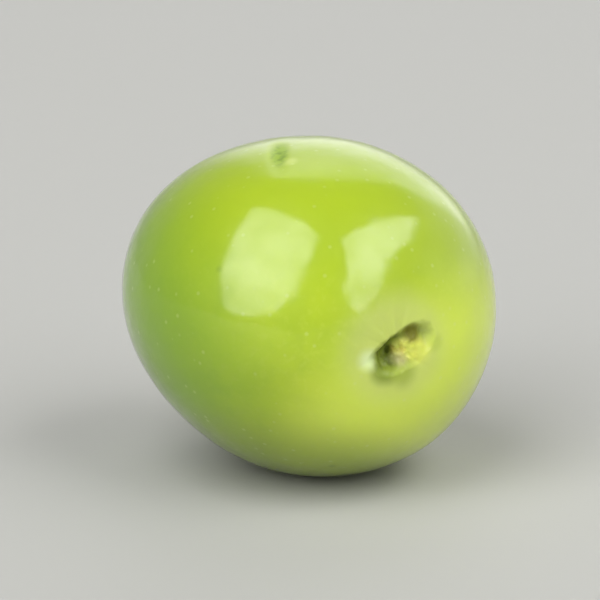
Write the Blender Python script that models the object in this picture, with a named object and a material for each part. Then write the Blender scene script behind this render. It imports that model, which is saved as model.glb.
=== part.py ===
"""A whole green table olive, one solid, lying on its flatter side.

Metres, +Z up. +X runs along the olive towards its stem end. The origin is under the middle of the
olive's box, on the surface that it rests on. The form is a sphere whose rings are drawn out to an
uneven egg, with the hollow and torn scar of the stem at one end, the small point of the blossom at
the other, and a flat spot underneath.
"""

import math

import bmesh
import bpy

# Body: overall sizes before the stem hollow and the flat spot are taken off
BODY_LENGTH = 0.0246
BODY_WIDTH = 0.0221
BODY_HEIGHT = 0.0204
EGG_SHARE = 0.03  # how much fuller the stem half is than the blossom half
TAPER_SHARE = 0.06  # how much slimmer the blossom end is drawn in
RIDGE_SHARE = 0.022  # height of the three blunt ridges along the body, as a share of its radius
RIDGE_TURN = math.radians(56.0)  # where the first ridge runs, counted from +Y towards +Z
ROLL = math.radians(-14.0)  # how far the flatter side is rolled about the olive's own length
BEND = 0.00025  # how far both ends lean to +Y of the middle

# Stem hollow: a wide shallow funnel round a small steep pit, which is longer one way than the other
FUNNEL_RADIUS = 0.0060
FUNNEL_DEPTH = 0.00060
PIT_SIDE = 0.00040  # how far to +Y of the olive's own length the pit lies
PIT_LONG_RADIUS = 0.00160
PIT_SHORT_RADIUS = 0.00098
PIT_TURN = math.radians(27.0)  # which way the pit is long, counted from +Y towards +Z
PIT_DEPTH = 0.00155
PIT_FLOOR_SHARE = 0.36  # share of the pit's radius where its floor ends and its wall starts
PIT_RIM_SHARE = 1.50  # share of the pit's radius where its wall has rolled over into the skin

# Stem scar: the torn stub of the stalk, against one wall of the pit
STUB_RADIUS = 0.00150
STUB_TOP_SHARE = 0.35  # share of the stub's radius that its blunt top takes
STUB_HEIGHT = 0.00138
STUB_SIDE = 0.00105
STUB_DROP = 0.00020

# Blossom end: a small point in a faint dimple
TIP_RADIUS = 0.0015
TIP_HEIGHT = 0.00042
DIMPLE_RADIUS = 0.0042
DIMPLE_DEPTH = 0.00016

# Flat spot that the olive rests on
REST_TRIM = 0.00040  # how much of the body's underside is pressed flat

# Mesh
SEGMENTS = 72
RINGS = 60
RING_PACKING = 0.72  # 0 spaces the rings evenly, and near 1 crowds them at both ends


def clear_scene():
    for old in list(bpy.data.objects):
        bpy.data.objects.remove(old, do_unlink=True)


def skin_material():
    material = bpy.data.materials.new("olive_skin")
    material.use_nodes = True
    shader = material.node_tree.nodes["Principled BSDF"]
    shader.inputs["Base Color"].default_value = (0.44, 0.62, 0.04, 1.0)
    shader.inputs["Roughness"].default_value = 0.22
    shader.inputs["Metallic"].default_value = 0.0
    return material


def fading(reach, full, none):
    """1 within the full reach and 0 past the other one, with a soft step between."""
    share = min(max((none - reach) / (none - full), 0.0), 1.0)
    return share * share * (3.0 - 2.0 * share)


def ring_angle(polar):
    """Angle of a ring to the stem end, once the rings crowd in towards both ends."""
    return polar - RING_PACKING * math.sin(2.0 * polar) / 2.0


def body_point(polar, turn):
    """Point on the plain body, from the angle to the stem end and the turn about the length."""
    along = math.cos(polar)
    across = math.sin(polar)
    fullness = 1.0 + EGG_SHARE * along - TAPER_SHARE * ((1.0 - along) / 2.0) ** 3
    ridges = 1.0 + RIDGE_SHARE * across**2 * math.cos(3.0 * (turn - RIDGE_TURN))
    girth = across * fullness * ridges
    wide = BODY_WIDTH / 2.0 * girth * math.cos(turn)
    high = BODY_HEIGHT / 2.0 * girth * math.sin(turn)
    side = wide * math.cos(ROLL) - high * math.sin(ROLL)
    rise = wide * math.sin(ROLL) + high * math.cos(ROLL)
    return along, side, rise


def stem_depth(side, rise):
    """Depth of the stem hollow at a place beside and above the olive's own length."""
    funnel = FUNNEL_DEPTH * fading(math.hypot(side, rise), 0.0, FUNNEL_RADIUS)
    from_pit = side - PIT_SIDE
    lengthways = from_pit * math.cos(PIT_TURN) + rise * math.sin(PIT_TURN)
    crossways = rise * math.cos(PIT_TURN) - from_pit * math.sin(PIT_TURN)
    pit_reach = math.hypot(lengthways / PIT_LONG_RADIUS, crossways / PIT_SHORT_RADIUS)
    pit = fading(pit_reach, PIT_FLOOR_SHARE, PIT_RIM_SHARE)
    stub_reach = math.hypot(side - STUB_SIDE, rise + STUB_DROP)
    stub = fading(stub_reach, STUB_TOP_SHARE * STUB_RADIUS, STUB_RADIUS) * pit
    return funnel + PIT_DEPTH * pit - STUB_HEIGHT * stub


def blossom_height(side, rise):
    """Height of the blossom end's point over the body, less the dimple that it stands in."""
    reach = math.hypot(side, rise)
    return TIP_HEIGHT * fading(reach, 0.0, TIP_RADIUS) - DIMPLE_DEPTH * fading(reach, 0.0, DIMPLE_RADIUS)


def olive_point(polar, turn):
    along, side, rise = body_point(polar, turn)
    x = BODY_LENGTH / 2.0 * along
    if along > 0.0:
        x -= stem_depth(side, rise)
    else:
        x -= blossom_height(side, rise)
    return x, side + BEND * along**2, rise


def draw_out(mesh):
    """Moves each vertex of a unit sphere, whose poles are on Z, to its place on the olive."""
    for vertex in mesh.verts:
        polar = math.acos(min(max(vertex.co.z, -1.0), 1.0))
        turn = math.atan2(vertex.co.y, vertex.co.x)
        vertex.co = olive_point(ring_angle(polar), turn)


def seat(mesh):
    """Centres the olive over the origin and presses its underside flat on the surface."""
    for axis in (0, 1):
        places = [vertex.co[axis] for vertex in mesh.verts]
        middle = (min(places) + max(places)) / 2.0
        for vertex in mesh.verts:
            vertex.co[axis] -= middle
    floor = min(vertex.co.z for vertex in mesh.verts) + REST_TRIM
    for vertex in mesh.verts:
        vertex.co.z = max(vertex.co.z - floor, 0.0)


def join_flat(mesh):
    """Makes the flat spot one face."""
    flat = [face for face in mesh.faces if all(vertex.co.z == 0.0 for vertex in face.verts)]
    bmesh.ops.dissolve_faces(mesh, faces=flat, use_verts=True)


def olive_mesh():
    shape = bmesh.new()
    bmesh.ops.create_uvsphere(shape, u_segments=SEGMENTS, v_segments=RINGS, radius=1.0)
    draw_out(shape)
    seat(shape)
    join_flat(shape)
    bmesh.ops.recalc_face_normals(shape, faces=shape.faces)
    mesh = bpy.data.meshes.new("olive")
    shape.to_mesh(mesh)
    shape.free()
    mesh.shade_smooth()
    return mesh


def main():
    clear_scene()
    group = bpy.data.collections.new("green_olive")
    bpy.context.scene.collection.children.link(group)
    olive = bpy.data.objects.new("olive", olive_mesh())
    olive.data.materials.append(skin_material())
    group.objects.link(olive)


main()
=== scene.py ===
"""Looks of one whole green table olive, wet from its brine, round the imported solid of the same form.

Metres, +Z up, +X along the olive towards its stem end, as in the solid. The skin is grown from a
sphere by a node tree: an uneven egg, then the stem's hollow and torn scar and the blossom's point,
then its place on the floor, then the unevenness that only the eye needs, then the flat spot.
"""

import math

import bmesh
import bpy
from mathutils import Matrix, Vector

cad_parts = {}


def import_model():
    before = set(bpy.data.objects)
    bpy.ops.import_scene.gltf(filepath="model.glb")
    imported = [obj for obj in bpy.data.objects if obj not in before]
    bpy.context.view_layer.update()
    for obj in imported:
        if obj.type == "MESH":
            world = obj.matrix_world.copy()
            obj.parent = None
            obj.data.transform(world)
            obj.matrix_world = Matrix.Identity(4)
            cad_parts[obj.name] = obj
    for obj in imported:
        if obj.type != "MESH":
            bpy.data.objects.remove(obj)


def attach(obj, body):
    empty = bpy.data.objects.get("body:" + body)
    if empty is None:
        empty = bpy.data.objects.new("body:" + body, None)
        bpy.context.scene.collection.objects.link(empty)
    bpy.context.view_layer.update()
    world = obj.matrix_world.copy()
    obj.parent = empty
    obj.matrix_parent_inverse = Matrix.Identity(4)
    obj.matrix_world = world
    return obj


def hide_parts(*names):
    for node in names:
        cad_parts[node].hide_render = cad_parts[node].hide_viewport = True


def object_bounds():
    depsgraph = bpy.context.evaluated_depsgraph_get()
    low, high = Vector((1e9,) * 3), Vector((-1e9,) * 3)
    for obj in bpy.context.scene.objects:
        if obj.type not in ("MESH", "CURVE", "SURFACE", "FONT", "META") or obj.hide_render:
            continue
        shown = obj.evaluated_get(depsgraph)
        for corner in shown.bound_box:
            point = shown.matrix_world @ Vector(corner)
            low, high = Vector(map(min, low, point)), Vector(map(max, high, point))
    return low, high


# The olive's form: the solid's own driving dimensions, as the inputs of the skin's node tree
FORM = {
    "Body length": 0.0246,
    "Body width": 0.0221,
    "Body height": 0.0204,
    "Egg share": 0.03,
    "Taper share": 0.06,
    "Ridge share": 0.022,
    "Ridge turn": math.radians(56.0),
    "Roll": math.radians(-14.0),
    "Bend": 0.00025,
    "Funnel radius": 0.0060,
    "Funnel depth": 0.00060,
    "Pit side": 0.00040,
    "Pit long radius": 0.00160,
    "Pit short radius": 0.00098,
    "Pit turn": math.radians(27.0),
    "Pit depth": 0.00155,
    "Pit floor share": 0.36,
    "Pit rim share": 1.50,
    "Stub radius": 0.00150,
    "Stub top share": 0.35,
    "Stub height": 0.00138,
    "Stub side": 0.00105,
    "Stub drop": 0.00020,
    "Tip radius": 0.0015,
    "Tip height": 0.00042,
    "Dimple radius": 0.0042,
    "Dimple depth": 0.00016,
    "Rest trim": 0.00040,
    "Ring packing": 0.72,
}

# What is too low or too fine for the solid, as more inputs of the same tree: swells and ripples all
# over, folds round the stem, torn flesh in the pit, the pit's ragged rim, a flap of skin over its
# upper side, one old nick on top, and the skin's turn into the flat spot
SKIN_RELIEF = {
    "Swell width": 0.0075,
    "Swell height": 0.00012,
    "Ripple width": 0.0022,
    "Ripple height": 0.00003,
    "Fold width": 0.45,  # of a unit circle round the stem
    "Fold height": 0.00010,
    "Fold start": 0.0038,
    "Fold end": 0.0014,
    "Torn width": 0.00085,
    "Torn height": 0.00030,
    "Ragged width": 0.00090,
    "Ragged share": 0.14,  # of the pit's radius
    "Flap side": 0.00005,
    "Flap rise": 0.00080,
    "Flap radius": 0.0025,
    "Flap share": 0.40,  # of the pit's radius
    "Nick x": 0.0020,
    "Nick y": -0.0023,
    "Nick z": 0.0196,
    "Nick turn": math.radians(-25.0),
    "Nick long radius": 0.0034,
    "Nick short radius": 0.0009,
    "Nick depth": 0.00012,
    "Rest blend": 0.00010,  # how softly the skin turns into the flat spot
}
SKIN_SEGMENTS = 340
SKIN_RINGS = 290

# Colour of the skin. Cloudy patches: width in mm, noise where they start and are full, colour, strength
SKIN_GROUND = "#A5BC20"
SKIN_CLOUDS = (
    (8.0, 0.40, 0.66, "#B5C72A", 0.8),
    (3.1, 0.50, 0.74, "#8EA91C", 0.40),
    (1.1, 0.52, 0.76, "#96B120", 0.35),
    (0.40, 0.48, 0.74, "#B9CA44", 0.25),
)
# Dots, which are the pale pores and the dark freckles: spacing and radius in mm, colour, strength.
# Both are drawn larger than real ones, which wouldn't show at this size
SKIN_DOTS = (
    (0.95, 0.17, "#CAD591", 0.20),
    (3.6, 0.34, "#708B20", 0.45),
)
DOT_CORE = 0.3  # share of a dot's radius where it has its full strength
# Painted light and shade by the way each side faces: painted shade on top, on one side and underneath,
# and a painted pool of light low beside the stem: way it faces, how far round to it the tint starts and
# is full, colour, strength
PAINTED_SIDE_LIGHT = (
    ((0.0, 0.1, 1.0), 0.1, 0.6, "#98AF1E", 0.9),
    ((-0.30, -0.88, -0.36), 0.06, 0.90, "#6E941A", 0.9),
    ((0.74, 0.36, -0.60), 0.62, 1.0, "#CEE04E", 0.85),
    ((0.25, -0.30, -0.92), 0.7, 1.0, "#7E941A", 0.8),
)
# Spots: middle in mm, radius in mm where full and where gone, colour, strength. At the stem and at
# the blossom the middle is 0, then how far to +Y of the olive's own length and above it
SKIN_SPOTS = (
    ((3.6, -2.4, 19.5), 0.1, 0.7, "#BECA6C", 0.6),
)
# Round the stem: a paler halo of the skin's own, then spots of painted shade and painted highlight
STEM_SPOTS_AND_PAINTED_LIGHT = (
    ((0.0, 0.0, 0.0), 1.8, 4.4, "#BAC570", 0.7),
    # two spots of painted shade below the pit
    ((0.0, -0.72, -1.20), 0.4, 1.3, "#708226", 0.85),
    ((0.0, 0.40, -1.55), 0.2, 1.3, "#90A038", 0.75),
    ((0.0, 2.50, 0.05), 0.2, 0.8, "#A4B63C", 0.5),
    # a pale spot of painted highlight on the pit's left lip
    ((0.0, -1.75, -0.50), 0.1, 1.0, "#D8E8B0", 0.75),
)
SCAR_SPOTS_AND_PAINTED_GLINT = (
    ((0.0, 1.45, -0.30), 0.35, 1.15, "#CDD45C", 0.8),
    # tan of the torn ridge, paled whitish as a painted glint
    ((0.0, 0.35, -0.75), 0.10, 0.60, "#C6BE8C", 0.6),
    ((0.0, 1.10, 0.72), 0.25, 0.80, "#6A6A0A", 0.95),
)
BLOSSOM_SPOTS = (
    ((0.0, 0.0, 0.0), 1.0, 3.0, "#B3C277", 0.6),
    ((0.0, 0.0, 0.0), 0.25, 0.65, "#543D1C", 0.95),
)
# The old nick, the pit and the stub in it: share of its depth or height where the colour starts and
# is full, colour, its stain. The nick's darker green is painted shade of its dent, and the pit's torn
# flesh and stain are darkened further as painted shade of its depth
MARK_COLOURS_AND_PAINTED_SHADE = (
    # darker green in the nick: painted shade of its dent
    ("nick", 0.10, 0.80, "#88A41C", "#6F8C10"),
    # torn flesh, darkened as painted shade in the pit's depth and on its lower lip
    ("pit", 0.0, 0.65, "#7A8A28", "#525E16"),
    ("stub", 0.15, 0.70, "#C9CE60", "#BDB450"),
)
FIBRE_WIDTH = 0.5  # of the torn flesh's bundles of fibre, in mm
FIBRE_STAIN = {"From Min": 0.45, "From Max": 0.65}  # noise where the stain starts and is full

# Shine of the skin. Dry skin is round the stem and in the nick, and the rest is wet
DRY_RADIUS = 1.7  # round the stem, in mm, within which the skin is dry
WET_RADIUS = 2.9  # round the stem, in mm, past which it is wet
FILM_WEIGHTS = {"To Min": 1.0, "To Max": 0.2}  # of the film of brine, on wet and on dry skin
WAX_WIDTH = 0.7  # of the patches where the wax is duller, in mm
WAX_ROUGHNESS = {"To Min": 0.24, "To Max": 0.44}  # where the wax is smooth, and where it is dull
DRY_ROUGHNESS = 0.2  # what being dry adds to it
GRAIN_WIDTH = 0.3  # of the skin's grain, about the real cell clusters, in mm
GRAIN_HEIGHT = 0.006  # in mm
PORE_HEIGHT = 0.8  # of the grain's, for a pore at full strength

# The photograph's view
VIEW_AZIMUTH = 64.5
VIEW_ELEVATION = 15.0
VIEW_LENS = 250.0
VIEW_WIDTH = 0.036  # how much of the scene is seen from side to side, at the olive

# The studio's walls, as pale as its floor and fading into a darker ceiling: sine of the angle where
# they end, and radiances
WALL_TOP = 0.8
WALL_RADIANCE = 0.40
CEILING_RADIANCE = 0.12

# The studio's floor
FLOOR_COLOUR = "#ACACA8"
FLOOR_ROUGHNESS = 0.7
FLOOR_REACH = 3.0  # of its edges from its middle

# Soft lights that face the olive: bearing, in degrees from the viewer's, elevation, radiance, width
# of the soft edge, glows and panes. The panes are the parts of it that are lit, each by its corners,
# anticlockwise. A glow is a round place that is brighter: middle, radius, by what share. All of
# these places are in metres across and up from the light's middle
LIGHT_DISTANCE = 2.0
LIGHT_CLOUD_WIDTH = 0.9  # of a light's brighter and darker patches, in metres
LIGHT_CLOUDS = {"From Min": 0.35, "From Max": 0.65, "To Min": 0.7, "To Max": 1.25}  # noise to brightness
SOFT_LIGHTS = {
    "left_light": {
        "bearing": -48.0,
        "elevation": 44.0,
        "radiance": 3.1,
        "softness": 0.25,
        "glows": (((0.30, 0.20), 1.3, 0.5),),
        "panes": (
            ((-1.10, 1.50), (-0.55, 0.10), (1.00, 0.00), (0.74, 1.45)),
            ((-0.58, 0.30), (-0.35, -1.60), (0.35, -1.65), (0.85, -1.40), (1.20, -0.80), (0.95, 0.30)),
        ),
    },
    "right_light": {
        "bearing": 74.0,
        "elevation": 28.0,
        "radiance": 3.3,
        "softness": 0.25,
        "glows": (((-0.40, 0.85), 1.2, 0.5),),
        "panes": (
            ((-0.70, 1.80), (-1.70, 0.30), (-1.85, -0.55), (-1.50, -1.00), (-0.40, 0.35), (0.0, 1.55)),
            ((-0.60, 1.70), (-0.50, 0.35), (0.85, 0.60), (1.50, 0.80), (0.0, 1.55)),
        ),
    },
    "right_fill": {
        "bearing": 116.0,
        "elevation": 18.0,
        "radiance": 0.45,
        "softness": 0.80,
        "glows": (),
        "panes": (
            ((-1.80, -0.60), (1.80, -0.60), (1.80, 0.60), (-1.80, 0.60)),
        ),
    },
    "back_light": {
        "bearing": 172.0,
        "elevation": 30.0,
        "radiance": 0.85,
        "softness": 0.45,
        "glows": (((0.05, 0.90), 1.1, 0.35),),
        "panes": (
            ((-0.57, -0.90), (0.67, -0.90), (0.67, 1.00), (0.38, 1.22), (0.05, 1.25), (-0.57, 0.85)),
            ((-1.00, -0.90), (-0.40, -0.90), (-0.40, 0.88), (-0.76, 0.52), (-0.97, 0.15)),
        ),
    },
}

MM = 0.001
MATH = "ShaderNodeMath"
VECTOR = "ShaderNodeVectorMath"
SPLIT = "ShaderNodeSeparateXYZ"
JOIN = "ShaderNodeCombineXYZ"
TURN = "ShaderNodeVectorRotate"
REMAP = "ShaderNodeMapRange"
NOISE = "ShaderNodeTexNoise"
MIX = "ShaderNodeMix"
MARK = "ShaderNodeAttribute"
POSITION = "GeometryNodeInputPosition"
MOVE = "GeometryNodeSetPosition"


def linear(code):
    """Linear colour, with alpha, of an sRGB hex code."""
    channels = [int(code[at : at + 2], 16) / 255 for at in (1, 3, 5)]
    return [c / 12.92 if c <= 0.04045 else ((c + 0.055) / 1.055) ** 2.4 for c in channels] + [1.0]


def feed(tree, node, inputs):
    """Feeds a node's inputs, by name or number, with values or with other nodes' results."""
    used = [socket for socket in node.inputs if socket.enabled]
    for key, value in inputs.items():
        socket = used[key] if isinstance(key, int) else next(one for one in used if one.name == key)
        if isinstance(value, bpy.types.Node):
            value = next(one for one in value.outputs if one.enabled)
        if isinstance(value, bpy.types.NodeSocket):
            tree.links.new(value, socket)
        else:
            socket.default_value = value


def add(tree, kind, inputs=None, **settings):
    """Adds a node with its settings and links."""
    node = tree.nodes.new(kind)
    for name, value in settings.items():
        setattr(node, name, value)
    feed(tree, node, inputs or {})
    return node


def fading(tree, value, full, none, strength=1.0):
    """The strength where the value is at full or beyond, 0 from none on, and a soft step between."""
    ends = {"Value": value, "From Min": full, "From Max": none, "To Min": strength, "To Max": 0.0}
    return add(tree, REMAP, ends, interpolation_type="SMOOTHSTEP")


def pattern(tree, place, width, detail):
    """Noise from about -1 to 1, whose lumps are as wide as given."""
    scale = add(tree, MATH, {0: 1.0, 1: width}, operation="DIVIDE")
    noise = add(tree, NOISE, {"Vector": place, "Scale": scale, "Detail": detail})
    return add(tree, MATH, {0: noise, 1: 2.0, 2: -1.0}, operation="MULTIPLY_ADD")


def oval_reach(tree, place, middle, axis, turn, radii):
    """How far a place is from the middle of an oval that is turned about an axis: 1 at its outline."""
    inputs = {0: place, "Center": middle, "Angle": turn}
    unturned = add(tree, TURN, inputs, rotation_type=axis, invert=True)
    from_middle = add(tree, VECTOR, {0: unturned, 1: middle}, operation="SUBTRACT")
    scaled = add(tree, VECTOR, {0: from_middle, 1: radii}, operation="DIVIDE")
    return add(tree, VECTOR, {0: scaled}, operation="LENGTH")


def ring_angle(tree, size, pole):
    """Angle of each of the sphere's rings to the stem end: polar - packing * sin(2 * polar) / 2"""
    polar = add(tree, MATH, {0: pole}, operation="ARCCOSINE")
    doubled = add(tree, MATH, {0: polar, 1: 2.0}, operation="MULTIPLY")
    wave = add(tree, MATH, {0: doubled}, operation="SINE")
    packing = add(tree, MATH, {0: size["Ring packing"], 1: -0.5}, operation="MULTIPLY")
    return add(tree, MATH, {0: wave, 1: packing, 2: polar}, operation="MULTIPLY_ADD")


def fullness(tree, size, along):
    """Girth along the olive: 1 + egg * along - taper * ((1 - along) / 2) ** 3"""
    egg = add(tree, MATH, {0: size["Egg share"], 1: along, 2: 1.0}, operation="MULTIPLY_ADD")
    behind = add(tree, MATH, {0: along, 1: -0.5, 2: 0.5}, operation="MULTIPLY_ADD")
    steep = add(tree, MATH, {0: behind, 1: 3.0}, operation="POWER")
    slimmer = add(tree, MATH, {0: steep, 1: size["Taper share"]}, operation="MULTIPLY")
    return add(tree, MATH, {0: egg, 1: slimmer}, operation="SUBTRACT")


def ridges(tree, size, across, turn):
    """Three blunt ridges round the girth: 1 + ridge * across ** 2 * cos(3 * (turn - ridge turn))"""
    turned = add(tree, MATH, {0: turn, 1: size["Ridge turn"]}, operation="SUBTRACT")
    tripled = add(tree, MATH, {0: turned, 1: 3.0}, operation="MULTIPLY")
    wave = add(tree, MATH, {0: tripled}, operation="COSINE")
    faded = add(tree, MATH, {0: across, 1: 2.0}, operation="POWER")
    height = add(tree, MATH, {0: faded, 1: size["Ridge share"]}, operation="MULTIPLY")
    return add(tree, MATH, {0: height, 1: wave, 2: 1.0}, operation="MULTIPLY_ADD")


def body(tree, size):
    """Place of each of the sphere's points on the plain uneven egg, and how far along it that is."""
    east, north, pole = add(tree, SPLIT, {0: add(tree, POSITION)}).outputs
    turn = add(tree, MATH, {0: north, 1: east}, operation="ARCTAN2")
    angle = ring_angle(tree, size, pole)
    along = add(tree, MATH, {0: angle}, operation="COSINE")
    across = add(tree, MATH, {0: angle}, operation="SINE")
    full = add(tree, MATH, {0: across, 1: fullness(tree, size, along)}, operation="MULTIPLY")
    girth = add(tree, MATH, {0: full, 1: ridges(tree, size, across, turn)}, operation="MULTIPLY")
    cosine = add(tree, MATH, {0: turn}, operation="COSINE")
    sine = add(tree, MATH, {0: turn}, operation="SINE")
    wide = add(tree, MATH, {0: girth, 1: cosine}, operation="MULTIPLY")
    high = add(tree, MATH, {0: girth, 1: sine}, operation="MULTIPLY")
    unit = add(tree, JOIN, {0: along, 1: wide, 2: high})
    spans = add(tree, JOIN, {0: size["Body length"], 1: size["Body width"], 2: size["Body height"]})
    halves = add(tree, VECTOR, {0: spans, 1: (0.5, 0.5, 0.5)}, operation="MULTIPLY")
    egg = add(tree, VECTOR, {0: unit, 1: halves}, operation="MULTIPLY")
    return add(tree, TURN, {0: egg, "Angle": size["Roll"]}, rotation_type="X_AXIS"), along


def pit_form(tree, size, beside):
    """1 on the floor of the oval pit and 0 outside its ragged rim, which the flap brings inwards."""
    middle = add(tree, JOIN, {0: 0.0, 1: size["Pit side"], 2: 0.0})
    radii = add(tree, JOIN, {0: 1.0, 1: size["Pit long radius"], 2: size["Pit short radius"]})
    reach = oval_reach(tree, beside, middle, "X_AXIS", size["Pit turn"], radii)
    ragged = pattern(tree, beside, size["Ragged width"], detail=2.0)
    flap_middle = add(tree, JOIN, {0: 0.0, 1: size["Flap side"], 2: size["Flap rise"]})
    flap_reach = add(tree, VECTOR, {0: beside, 1: flap_middle}, operation="DISTANCE")
    flap = fading(tree, flap_reach, 0.0, size["Flap radius"])
    for form, share in ((ragged, size["Ragged share"]), (flap, size["Flap share"])):
        reach = add(tree, MATH, {0: form, 1: share, 2: reach}, operation="MULTIPLY_ADD")
    return fading(tree, reach, size["Pit floor share"], size["Pit rim share"])


def stub_form(tree, size, beside, pit):
    """1 on the blunt top of the torn stub in the pit, and 0 beside it."""
    drop = add(tree, MATH, {0: size["Stub drop"], 1: -1.0}, operation="MULTIPLY")
    middle = add(tree, JOIN, {0: 0.0, 1: size["Stub side"], 2: drop})
    reach = add(tree, VECTOR, {0: beside, 1: middle}, operation="DISTANCE")
    top = add(tree, MATH, {0: size["Stub radius"], 1: size["Stub top share"]}, operation="MULTIPLY")
    stub = fading(tree, reach, top, size["Stub radius"])
    return add(tree, MATH, {0: stub, 1: pit}, operation="MULTIPLY")


def stem_depth(tree, size, beside, reach):
    """Depth of the funnel and of the pit in it, less the height of the stub that stands in the pit."""
    funnel = fading(tree, reach, 0.0, size["Funnel radius"])
    pit = pit_form(tree, size, beside)
    stub = stub_form(tree, size, beside, pit)
    height = add(tree, MATH, {0: stub, 1: size["Stub height"]}, operation="MULTIPLY")
    hollow = add(tree, MATH, {0: funnel, 1: size["Funnel depth"]}, operation="MULTIPLY")
    sunk = add(tree, MATH, {0: pit, 1: size["Pit depth"], 2: hollow}, operation="MULTIPLY_ADD")
    return add(tree, MATH, {0: sunk, 1: height}, operation="SUBTRACT"), pit, stub


def blossom_height(tree, size, reach):
    """Height of the blossom's small point, less the dimple that it stands in."""
    tip = fading(tree, reach, 0.0, size["Tip radius"])
    dimple = fading(tree, reach, 0.0, size["Dimple radius"])
    depth = add(tree, MATH, {0: dimple, 1: size["Dimple depth"]}, operation="MULTIPLY")
    height = add(tree, MATH, {0: tip, 1: size["Tip height"]}, operation="MULTIPLY")
    return add(tree, MATH, {0: height, 1: depth}, operation="SUBTRACT")


def ends_worked(tree, size, place, along):
    """Sinks the stem's hollow into one end and raises the blossom's point on the other."""
    x, side, rise = add(tree, SPLIT, {0: place}).outputs
    beside = add(tree, JOIN, {0: 0.0, 1: side, 2: rise})
    reach = add(tree, VECTOR, {0: beside}, operation="LENGTH")
    depth, pit, stub = stem_depth(tree, size, beside, reach)
    height = blossom_height(tree, size, reach)
    at_stem = add(tree, MATH, {0: along, 1: 0.0}, operation="GREATER_THAN")
    shift = add(tree, MIX, {"Factor": at_stem, "A": height, "B": depth})
    worked_x = add(tree, MATH, {0: x, 1: shift}, operation="SUBTRACT")
    leaning = add(tree, MATH, {0: along, 1: 2.0}, operation="POWER")
    worked_y = add(tree, MATH, {0: leaning, 1: size["Bend"], 2: side}, operation="MULTIPLY_ADD")
    worked = add(tree, JOIN, {0: worked_x, 1: worked_y, 2: rise})
    at_blossom = add(tree, MATH, {0: 1.0, 1: at_stem}, operation="SUBTRACT")
    marks = {
        "stem_place": add(tree, JOIN, {0: at_blossom, 1: side, 2: rise}),
        "blossom_place": add(tree, JOIN, {0: at_stem, 1: side, 2: rise}),
        "pit": add(tree, MATH, {0: pit, 1: at_stem}, operation="MULTIPLY"),
        "stub": add(tree, MATH, {0: stub, 1: at_stem}, operation="MULTIPLY"),
    }
    return worked, marks


def seated(tree, size, skin):
    """Centres the olive over the origin and lowers it until its flat spot would be on the floor."""
    inputs = {"Geometry": skin, "Attribute": add(tree, POSITION)}
    span = add(tree, "GeometryNodeAttributeStatistic", inputs, data_type="FLOAT_VECTOR")
    ends = add(tree, VECTOR, {0: span.outputs["Min"], 1: span.outputs["Max"]}, operation="ADD")
    middle = add(tree, VECTOR, {0: ends, 1: (0.5, 0.5, 0.0)}, operation="MULTIPLY")
    lowest = add(tree, VECTOR, {0: span.outputs["Min"], 1: (0.0, 0.0, 1.0)}, operation="MULTIPLY")
    trim = add(tree, JOIN, {0: 0.0, 1: 0.0, 2: size["Rest trim"]})
    floor = add(tree, VECTOR, {0: lowest, 1: trim}, operation="ADD")
    origin = add(tree, VECTOR, {0: middle, 1: floor}, operation="ADD")
    offset = add(tree, VECTOR, {0: origin, "Scale": -1.0}, operation="SCALE")
    return add(tree, MOVE, {"Geometry": skin, "Offset": offset})


def nick(tree, size):
    """1 in the middle of one old nick in the skin, and 0 outside it."""
    place = add(tree, POSITION)
    middle = add(tree, JOIN, {0: size["Nick x"], 1: size["Nick y"], 2: size["Nick z"]})
    radii = {0: size["Nick long radius"], 1: size["Nick short radius"], 2: size["Nick long radius"]}
    reach = oval_reach(tree, place, middle, "Z_AXIS", size["Nick turn"], add(tree, JOIN, radii))
    return fading(tree, reach, 0.0, 1.0)


def stored(tree, skin, name, mark):
    """Keeps a mark on the skin, for the material and for the steps after the skin has moved."""
    kind = "FLOAT_VECTOR" if name.endswith("_place") else "FLOAT"
    inputs = {"Geometry": skin, "Name": name, "Value": mark}
    skin = add(tree, "GeometryNodeStoreNamedAttribute", inputs, data_type=kind)
    return skin, add(tree, "GeometryNodeInputNamedAttribute", {"Name": name}, data_type=kind)


def unevenness(tree, size, marks):
    """Height over the plain form: swells, ripples, folds round the stem, torn flesh and one old nick."""
    place = add(tree, POSITION)
    round_stem = add(tree, VECTOR, {0: marks["stem_place"]}, operation="NORMALIZE")
    stem_reach = add(tree, VECTOR, {0: marks["stem_place"]}, operation="LENGTH")
    near_stem = fading(tree, stem_reach, size["Fold end"], size["Fold start"])
    beside_pit = add(tree, MATH, {0: 1.0, 1: marks["pit"]}, operation="SUBTRACT")
    in_folds = add(tree, MATH, {0: near_stem, 1: beside_pit}, operation="MULTIPLY")
    depth = add(tree, MATH, {0: marks["nick"], 1: size["Nick depth"]}, operation="MULTIPLY")
    height = add(tree, MATH, {0: depth, 1: -1.0}, operation="MULTIPLY")
    for kind, where, detail, share in (
        ("Swell", place, 0.0, 1.0),
        ("Ripple", place, 1.0, 1.0),
        ("Fold", round_stem, 1.0, in_folds),
        ("Torn", place, 3.0, marks["pit"]),
    ):
        lumps = pattern(tree, where, size[kind + " width"], detail)
        kept = add(tree, MATH, {0: lumps, 1: share}, operation="MULTIPLY")
        highest = size[kind + " height"]
        height = add(tree, MATH, {0: kept, 1: highest, 2: height}, operation="MULTIPLY_ADD")
    return height


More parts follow.
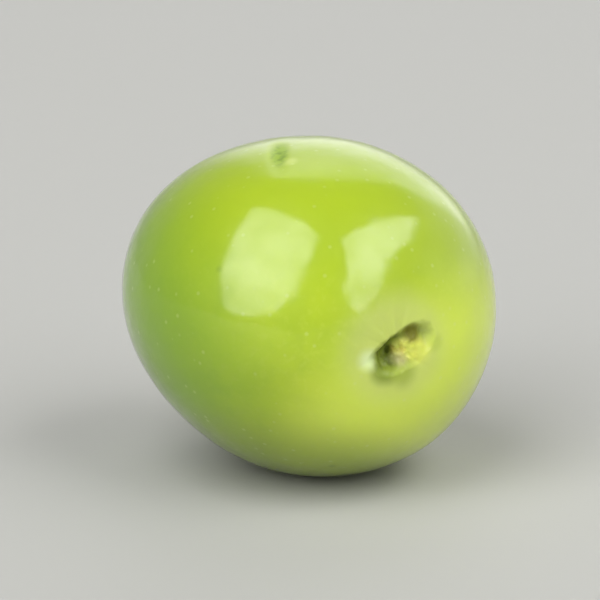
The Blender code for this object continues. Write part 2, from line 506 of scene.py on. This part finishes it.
def skin_tree(material):
    """Node tree for the olive's whole surface, with a named input for each size."""
    tree = bpy.data.node_groups.new("olive_skin", "GeometryNodeTree")
    tree.interface.new_socket("Geometry", in_out="INPUT", socket_type="NodeSocketGeometry")
    tree.interface.new_socket("Geometry", in_out="OUTPUT", socket_type="NodeSocketGeometry")
    for name in [*FORM, *SKIN_RELIEF]:
        tree.interface.new_socket(name, in_out="INPUT", socket_type="NodeSocketFloat")
    size = add(tree, "NodeGroupInput").outputs

    skin = add(tree, "GeometryNodeMeshUVSphere", {"Segments": SKIN_SEGMENTS, "Rings": SKIN_RINGS})
    place, along = body(tree, size)
    worked, marks = ends_worked(tree, size, place, along)
    for name, mark in marks.items():
        skin, marks[name] = stored(tree, skin, name, mark)
    skin = add(tree, MOVE, {"Geometry": skin, "Position": worked})
    skin = seated(tree, size, skin)
    skin, marks["nick"] = stored(tree, skin, "nick", nick(tree, size))

    normal = add(tree, "GeometryNodeInputNormal")
    offset = add(tree, VECTOR, {0: normal, "Scale": unevenness(tree, size, marks)}, operation="SCALE")
    skin = add(tree, MOVE, {"Geometry": skin, "Offset": offset})
    x, y, height = add(tree, SPLIT, {0: add(tree, POSITION)}).outputs
    pressed = add(tree, MATH, {0: height, 1: 0.0, 2: size["Rest blend"]}, operation="SMOOTH_MAX")
    skin = add(tree, MOVE, {"Geometry": skin, "Position": add(tree, JOIN, {0: x, 1: y, 2: pressed})})

    smooth = add(tree, "GeometryNodeSetShadeSmooth", {"Geometry": skin})
    real = add(tree, "GeometryNodeRealizeInstances", {"Geometry": smooth})
    clad = add(tree, "GeometryNodeSetMaterial", {"Geometry": real, "Material": material})
    add(tree, "NodeGroupOutput", {"Geometry": clad})
    return tree


def made_by(tree, sizes):
    """Runs a node tree with its sizes set, and returns what it makes as a plain object."""
    name = tree.name
    holder = bpy.data.objects.new(name + "_holder", bpy.data.meshes.new(name + "_holder"))
    bpy.context.scene.collection.objects.link(holder)
    modifier = holder.modifiers.new(name, "NODES")
    modifier.node_group = tree
    for item in tree.interface.items_tree:
        if item.name in sizes:
            modifier[item.identifier] = sizes[item.name]
    holder.update_tag()
    seen = holder.evaluated_get(bpy.context.evaluated_depsgraph_get())
    piece = bpy.data.objects.new(name, bpy.data.meshes.new_from_object(seen))
    piece.data.name = name
    bpy.context.scene.collection.objects.link(piece)
    bpy.data.objects.remove(holder, do_unlink=True)
    return piece


def new_material(name):
    """A new material, its node tree and its shader."""
    material = bpy.data.materials.new(name)
    material.use_nodes = True
    return material, material.node_tree, material.node_tree.nodes["Principled BSDF"]


def clouded(tree, place):
    """The skin's ground colour, with each kind of cloudy patch laid over it."""
    colour = linear(SKIN_GROUND)
    for width, start, full, patch, strength in SKIN_CLOUDS:
        noise = add(tree, NOISE, {"Vector": place, "Scale": 1.0 / (width * MM), "Detail": 3.0})
        share = fading(tree, noise, full, start, strength)
        colour = add(tree, MIX, {"Factor": share, "A": colour, "B": linear(patch)}, data_type="RGBA")
    return colour


def side_light_painted(tree, place, colour):
    """Paints light and shade on each side of the skin, by the way it faces from the olive's middle."""
    radius = FORM["Body height"] / 2.0
    from_middle = add(tree, VECTOR, {0: place, 1: (0.0, 0.0, radius)}, operation="SUBTRACT")
    for way, start, full, tint, strength in PAINTED_SIDE_LIGHT:
        scaled_way = Vector(way).normalized() / radius
        towards_it = add(tree, VECTOR, {0: from_middle, 1: scaled_way}, operation="DOT_PRODUCT")
        share = fading(tree, towards_it, full, start, strength)
        colour = add(tree, MIX, {"Factor": share, "A": colour, "B": linear(tint)}, data_type="RGBA")
    return colour


def dotted(tree, place, colour):
    """Lays the pale pores and the few dark freckles over the skin, and gives the pores' share."""
    shares = []
    for spacing, radius, dot, strength in SKIN_DOTS:
        reach = add(tree, "ShaderNodeTexVoronoi", {"Vector": place, "Scale": 1.0 / (spacing * MM)})
        share = fading(tree, reach, DOT_CORE * radius / spacing, radius / spacing, strength)
        colour = add(tree, MIX, {"Factor": share, "A": colour, "B": linear(dot)}, data_type="RGBA")
        shares.append(share)
    return colour, shares[0]


def spotted(tree, place, colour, spots):
    """Lays round spots over the skin, at places in millimetres."""
    for middle, full, none, spot, strength in spots:
        reach = add(tree, VECTOR, {0: place, 1: [part * MM for part in middle]}, operation="DISTANCE")
        share = fading(tree, reach, full * MM, none * MM, strength)
        colour = add(tree, MIX, {"Factor": share, "A": colour, "B": linear(spot)}, data_type="RGBA")
    return colour


def scarred_and_shaded(tree, place, colour):
    """Colours the old nick, the pit and the torn stub in it, with painted shade in the nick and the pit.
    """
    fibres = add(tree, NOISE, {"Vector": place, "Scale": 1.0 / (FIBRE_WIDTH * MM), "Detail": 2.0})
    stained = add(tree, REMAP, {"Value": fibres, **FIBRE_STAIN})
    for mark, start, full, flesh, stain in MARK_COLOURS_AND_PAINTED_SHADE:
        value = add(tree, MARK, attribute_name=mark).outputs["Fac"]
        share = fading(tree, value, full, start)
        torn = {"Factor": stained, "A": linear(flesh), "B": linear(stain)}
        torn = add(tree, MIX, torn, data_type="RGBA")
        colour = add(tree, MIX, {"Factor": share, "A": colour, "B": torn}, data_type="RGBA")
    return colour


def skin_colour(tree, place, stem_place):
    """Colour of the skin, from its ground up to its scars with painted light and shade, and the share of
    the pores in it.
    """
    blossom_place = add(tree, MARK, attribute_name="blossom_place").outputs["Vector"]
    # painted light and shade by side, laid over the clouded ground colour
    colour = side_light_painted(tree, place, clouded(tree, place))
    colour, pores = dotted(tree, place, colour)
    colour = spotted(tree, place, colour, SKIN_SPOTS)
    colour = spotted(tree, blossom_place, colour, BLOSSOM_SPOTS)
    # stem spots, with painted shade below the pit and a painted highlight beside it
    colour = spotted(tree, stem_place, colour, STEM_SPOTS_AND_PAINTED_LIGHT)
    colour = scarred_and_shaded(tree, place, colour)
    # scar spots, with a painted glint on the tan ridge
    return spotted(tree, stem_place, colour, SCAR_SPOTS_AND_PAINTED_GLINT), pores


def skin_shine(tree, place, stem_place):
    """Roughness of the wax, and weight of the film of brine over it."""
    wax = add(tree, NOISE, {"Vector": place, "Scale": 1.0 / (WAX_WIDTH * MM), "Detail": 2.0})
    waxy = add(tree, REMAP, {"Value": wax, **WAX_ROUGHNESS})
    stem_reach = add(tree, VECTOR, {0: stem_place}, operation="LENGTH")
    dry_stem = fading(tree, stem_reach, DRY_RADIUS * MM, WET_RADIUS * MM)
    dry_nick = add(tree, MARK, attribute_name="nick").outputs["Fac"]
    dry = add(tree, MATH, {0: dry_stem, 1: dry_nick}, operation="MAXIMUM")
    rough = add(tree, MATH, {0: dry, 1: DRY_ROUGHNESS, 2: waxy}, operation="MULTIPLY_ADD")
    return rough, add(tree, REMAP, {"Value": dry, **FILM_WEIGHTS})


def skin_grain(tree, place, pores):
    """The skin's fine grain, with its pores a little raised."""
    grain = add(tree, NOISE, {"Vector": place, "Scale": 1.0 / (GRAIN_WIDTH * MM), "Detail": 2.0})
    raised = add(tree, MATH, {0: pores, 1: PORE_HEIGHT, 2: grain}, operation="MULTIPLY_ADD")
    return add(tree, "ShaderNodeBump", {"Height": raised, "Distance": GRAIN_HEIGHT * MM})


def wet_olive_skin():
    """Waxy olive skin, cured and taken wet from its brine.

    The eye sees a clear, sharp shine off the film of brine, over a softer waxy one, over flesh that
    lets some light through: clouded yellow-green with pale pores.
    """
    material, tree, shader = new_material("wet_olive_skin")
    place = add(tree, "ShaderNodeTexCoord").outputs["Object"]
    stem_place = add(tree, MARK, attribute_name="stem_place").outputs["Vector"]
    colour, pores = skin_colour(tree, place, stem_place)
    rough, film = skin_shine(tree, place, stem_place)
    looks = {
        "Base Color": colour,
        "Roughness": rough,
        "Normal": skin_grain(tree, place, pores),
        "Specular IOR Level": 0.2,
        "Subsurface Weight": 0.3,
        "Subsurface Radius": (0.8, 1.0, 0.2),
        "Subsurface Scale": 1.2 * MM,
        "Coat Weight": film,
        "Coat Roughness": 0.06,
        "Coat IOR": 1.5,
    }
    feed(tree, shader, looks)
    return material


def view_axes(azimuth, elevation):
    """Right, up and towards the viewer, for a viewer at that bearing."""
    turn, lift = math.radians(azimuth), math.radians(elevation)
    right = Vector((math.cos(turn), math.sin(turn), 0.0))
    back = Vector((math.sin(turn) * math.cos(lift), -math.cos(turn) * math.cos(lift), math.sin(lift)))
    return right, back.cross(right), back


def facing(direction):
    """Turn of a camera or light that stands off in the direction and looks back along it."""
    return direction.to_track_quat("Z", "Y").to_euler()


def add_camera(middle):
    """A long lens at the photograph's viewing angle, aimed at the olive's middle."""
    camera = bpy.data.objects.new("camera", bpy.data.cameras.new("camera"))
    bpy.context.scene.collection.objects.link(camera)
    camera.data.lens = VIEW_LENS
    camera.data.clip_start = 1.0 * MM
    distance = VIEW_WIDTH * VIEW_LENS / camera.data.sensor_width
    _, _, back = view_axes(VIEW_AZIMUTH, VIEW_ELEVATION)
    camera.location = middle + back * distance
    camera.rotation_euler = facing(back)
    bpy.context.scene.camera = camera


def pane_lit(tree, place, corners, softness):
    """1 inside a pane, whose corners are counted anticlockwise, fading to 0 over its soft edges."""
    lit = 1.0
    for start, end in zip(corners, corners[1:] + corners[:1]):
        edge = Vector((end[0] - start[0], end[1] - start[1], 0.0)).normalized()
        from_corner = add(tree, VECTOR, {0: place, 1: (*start, 0.0)}, operation="SUBTRACT")
        inward = add(tree, VECTOR, {0: from_corner, 1: (-edge.y, edge.x, 0.0)}, operation="DOT_PRODUCT")
        inside = fading(tree, inward, softness / 2.0, -softness / 2.0)
        lit = add(tree, MATH, {0: lit, 1: inside}, operation="MULTIPLY")
    return lit


def light_brightness(tree, place, glows):
    """A light's own unevenness: faint clouds of brightness, and more of it at the glows."""
    clouds = add(tree, NOISE, {"Vector": place, "Scale": 1.0 / LIGHT_CLOUD_WIDTH, "Detail": 1.0})
    bright = add(tree, REMAP, {"Value": clouds, **LIGHT_CLOUDS})
    for middle, radius, share in glows:
        reach = add(tree, VECTOR, {0: place, 1: (*middle, 0.0)}, operation="DISTANCE")
        glow = fading(tree, reach, 0.0, radius)
        bright = add(tree, MATH, {0: glow, 1: share, 2: bright}, operation="MULTIPLY_ADD")
    return bright


def shape_light(light, look):
    """Lights only the panes of a rectangular light, and those unevenly."""
    light.use_nodes = True
    tree = light.node_tree
    across_up = add(tree, "ShaderNodeNewGeometry").outputs["Parametric"]
    from_middle = add(tree, VECTOR, {0: across_up, 1: (0.5, 0.5, 0.0)}, operation="SUBTRACT")
    place = add(tree, VECTOR, {0: from_middle, 1: (light.size, light.size_y, 0.0)}, operation="MULTIPLY")
    lit = 0.0
    for corners in look["panes"]:
        pane = pane_lit(tree, place, corners, look["softness"])
        lit = add(tree, MATH, {0: lit, 1: pane}, operation="MAXIMUM")
    bright = light_brightness(tree, place, look["glows"])
    strength = add(tree, MATH, {0: lit, 1: bright}, operation="MULTIPLY")
    feed(tree, tree.nodes["Emission"], {"Strength": strength})


def add_soft_light(olive_middle, name, look):
    """Adds a soft light that faces the olive, just large enough for its panes and their soft edges."""
    light = bpy.data.lights.new(name, "AREA")
    light.shape = "RECTANGLE"
    corners = [corner for pane in look["panes"] for corner in pane]
    light.size = 2.0 * max(abs(across) for across, _ in corners) + look["softness"]
    light.size_y = 2.0 * max(abs(up) for _, up in corners) + look["softness"]
    light.energy = look["radiance"] * math.pi * light.size * light.size_y
    shape_light(light, look)
    lamp = bpy.data.objects.new(name, light)
    bpy.context.scene.collection.objects.link(lamp)
    _, _, direction = view_axes(VIEW_AZIMUTH + look["bearing"], look["elevation"])
    lamp.location = olive_middle + direction * LIGHT_DISTANCE
    lamp.rotation_euler = facing(direction)


def add_world():
    """The studio's pale walls and darker ceiling, far away on all sides."""
    world = bpy.data.worlds.new("studio")
    bpy.context.scene.world = world
    world.use_nodes = True
    tree = world.node_tree
    _, _, upwards = add(tree, SPLIT, {0: add(tree, "ShaderNodeTexCoord").outputs["Generated"]}).outputs
    ends = {"Value": upwards, "From Max": WALL_TOP, "To Min": WALL_RADIANCE, "To Max": CEILING_RADIANCE}
    radiance = add(tree, REMAP, ends, interpolation_type="SMOOTHSTEP")
    feed(tree, tree.nodes["Background"], {"Color": (1.0, 1.0, 1.0, 1.0), "Strength": radiance})


def add_floor():
    """Matt painted board: a plain pale surface that takes a soft shadow and mirrors nothing."""
    shape = bmesh.new()
    bmesh.ops.create_grid(shape, x_segments=1, y_segments=1, size=FLOOR_REACH)
    mesh = bpy.data.meshes.new("floor")
    shape.to_mesh(mesh)
    shape.free()
    floor = bpy.data.objects.new("floor", mesh)
    bpy.context.scene.collection.objects.link(floor)
    material, tree, shader = new_material("matt_painted_board")
    feed(tree, shader, {"Base Color": linear(FLOOR_COLOUR), "Roughness": FLOOR_ROUGHNESS})
    mesh.materials.append(material)


def main():
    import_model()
    bpy.context.scene.view_settings.view_transform = "Standard"
    cad_low, cad_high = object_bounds()
    middle = (cad_low + cad_high) / 2.0

    skin = made_by(skin_tree(wet_olive_skin()), {**FORM, **SKIN_RELIEF})
    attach(skin, "root")
    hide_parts("olive")

    add_floor()
    add_world()
    for name, look in SOFT_LIGHTS.items():
        add_soft_light(middle, name, look)
    add_camera(middle)


main()
